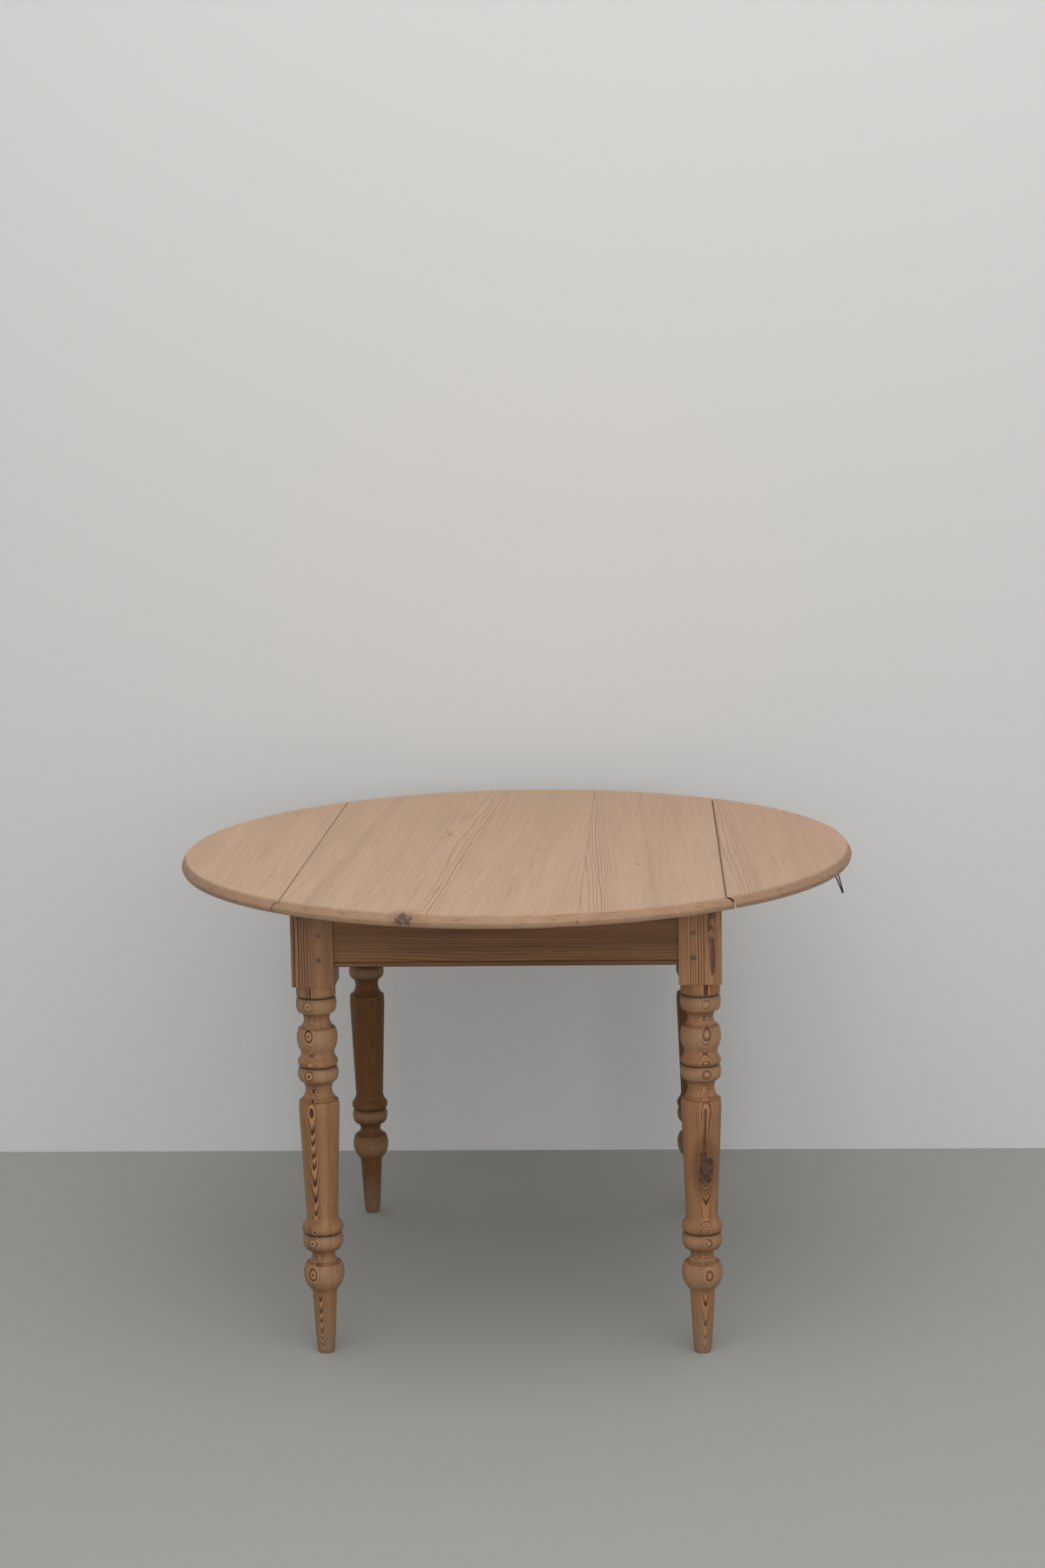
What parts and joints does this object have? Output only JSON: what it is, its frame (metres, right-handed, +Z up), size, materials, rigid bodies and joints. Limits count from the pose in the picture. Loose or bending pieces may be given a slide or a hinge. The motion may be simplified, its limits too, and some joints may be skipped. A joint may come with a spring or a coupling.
{
  "type": "drop leaf table",
  "caption": "Oval pine table with turned legs and a hinged drop leaf on each long side, held level by pull-out bearers.",
  "frame": {"origin": "on the floor, under the middle of the top", "axes": "+Z up, +Y along the boards towards the back, +X across the leaves to the right"},
  "size_m": [1.11, 1.1959, 0.75],
  "materials": {
    "bare_pine": "scrubbed, bare and matt",
    "waxed_pine": "old, worn satin",
    "inner_pine": "unfinished",
    "peg_wood": "dark end grain",
    "old_iron": "dull, lightly rusted",
    "dark_wire": "dark drawn wire"
  },
  "bodies": {
    "frame": {"apron_back": "waxed_pine", "apron_front": "waxed_pine", "apron_left": "waxed_pine", "apron_right": "waxed_pine", "bearer_rail": "inner_pine", "corner_block_back_left": "inner_pine", "corner_block_back_right": "inner_pine", "corner_block_front_left": "inner_pine", "corner_block_front_right": "inner_pine", "glue_block_back_left": "inner_pine", "glue_block_back_right": "inner_pine", "glue_block_front_left": "inner_pine", "glue_block_front_right": "inner_pine", "hinge_pin_left_back": "old_iron", "hinge_pin_left_front": "old_iron", "hinge_pin_right_back": "old_iron", "hinge_pin_right_front": "old_iron", "hinge_top_plate_left_back": "old_iron", "hinge_top_plate_left_front": "old_iron", "hinge_top_plate_right_back": "old_iron", "hinge_top_plate_right_front": "old_iron", "hinge_top_screws": "old_iron", "leg_back_left": "waxed_pine", "leg_back_right": "waxed_pine", "leg_front_left": "waxed_pine", "leg_front_right": "waxed_pine", "tenon_pegs_back_left": "peg_wood", "tenon_pegs_back_right": "peg_wood", "tenon_pegs_front_left": "peg_wood", "tenon_pegs_front_right": "peg_wood", "top_board_left": "bare_pine", "top_board_right": "bare_pine", "top_screws": "old_iron"},
    "leaf_left": {"hinge_leaf_plate_left_back": "old_iron", "hinge_leaf_plate_left_front": "old_iron", "hinge_leaf_screws_left": "old_iron", "leaf_left": "bare_pine"},
    "leaf_right": {"hinge_leaf_plate_right_back": "old_iron", "hinge_leaf_plate_right_front": "old_iron", "hinge_leaf_screws_right": "old_iron", "leaf_right": "bare_pine", "pull_staple": "dark_wire"},
    "bearer_left": {"bearer_left": "inner_pine", "bearer_stop_pins_left": "peg_wood"},
    "bearer_right": {"bearer_right": "inner_pine", "bearer_stop_pins_right": "peg_wood"},
    "pull_loop": {"pull_loop": "dark_wire"}
  },
  "joints": [
    {"name": "leaf_left_hinge", "type": "hinge", "parent": "frame", "child": "leaf_left", "pos_m": [-0.335, 0, 0.7325], "axis": [0, -1, 0], "range_deg": [0, 90]},
    {"name": "leaf_right_hinge", "type": "hinge", "parent": "frame", "child": "leaf_right", "pos_m": [0.335, 0, 0.7325], "axis": [0, 1, 0], "range_deg": [0, 90]},
    {"name": "bearer_left_slide", "type": "slide", "parent": "frame", "child": "bearer_left", "axis": [1, 0, 0], "range_m": [-0.17, 0]},
    {"name": "bearer_right_slide", "type": "slide", "parent": "frame", "child": "bearer_right", "axis": [-1, 0, 0], "range_m": [-0.17, 0]},
    {"name": "pull_loop_hinge", "type": "hinge", "parent": "leaf_right", "child": "pull_loop", "pos_m": [0.51977, -0.14257, 0.7284], "axis": [0.3911, 0.9204, 0], "range_deg": [-60, 105]}
  ]
}
